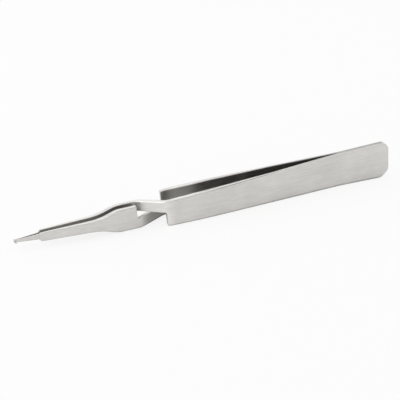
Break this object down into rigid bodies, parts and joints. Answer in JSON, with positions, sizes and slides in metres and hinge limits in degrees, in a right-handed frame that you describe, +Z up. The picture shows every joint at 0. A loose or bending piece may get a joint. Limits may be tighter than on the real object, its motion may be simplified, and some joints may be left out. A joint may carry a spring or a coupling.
{
  "type": "self-closing tweezers",
  "caption": "Self-closing crossover tweezers of satin steel: squeezing the welded, bowed handles opens fine tips with small turned-out feet.",
  "frame": {"origin": "centre of the underside of the part's box: the plane that the lower long edges of the handles stand on", "axes": "+X from the tips to the welded tail; +Y from the near handle to the far one, across the gap; +Z up, along the width of the strips, which stand on their long edges"},
  "size_m": [0.115, 0.0082, 0.0119],
  "materials": {
    "arm_steel": "satin",
    "tail_steel": "satin",
    "weld_steel": "as welded"
  },
  "bodies": {
    "tail": {"near_tail": "tail_steel", "far_tail": "tail_steel", "spot_welds": "weld_steel"},
    "near_arm": {"near_arm": "arm_steel"},
    "far_arm": {"far_arm": "arm_steel"}
  },
  "joints": [
    {"name": "near_squeeze", "type": "hinge", "parent": "tail", "child": "near_arm", "pos_m": [0.04194, 0, 0.00557], "axis": [0.0273, 0, -0.9996], "range_deg": [0, 2], "stiffness_Nm_per_rad": 2, "springref_deg": -1.15},
    {"name": "far_squeeze", "type": "hinge", "parent": "tail", "child": "far_arm", "pos_m": [0.04194, 0, 0.00557], "axis": [-0.0273, 0, 0.9996], "range_deg": [0, 2], "stiffness_Nm_per_rad": 2, "springref_deg": -1.15}
  ],
  "couplings": [
    {"joint": "far_squeeze", "follows": "near_squeeze", "ratio": 1}
  ]
}
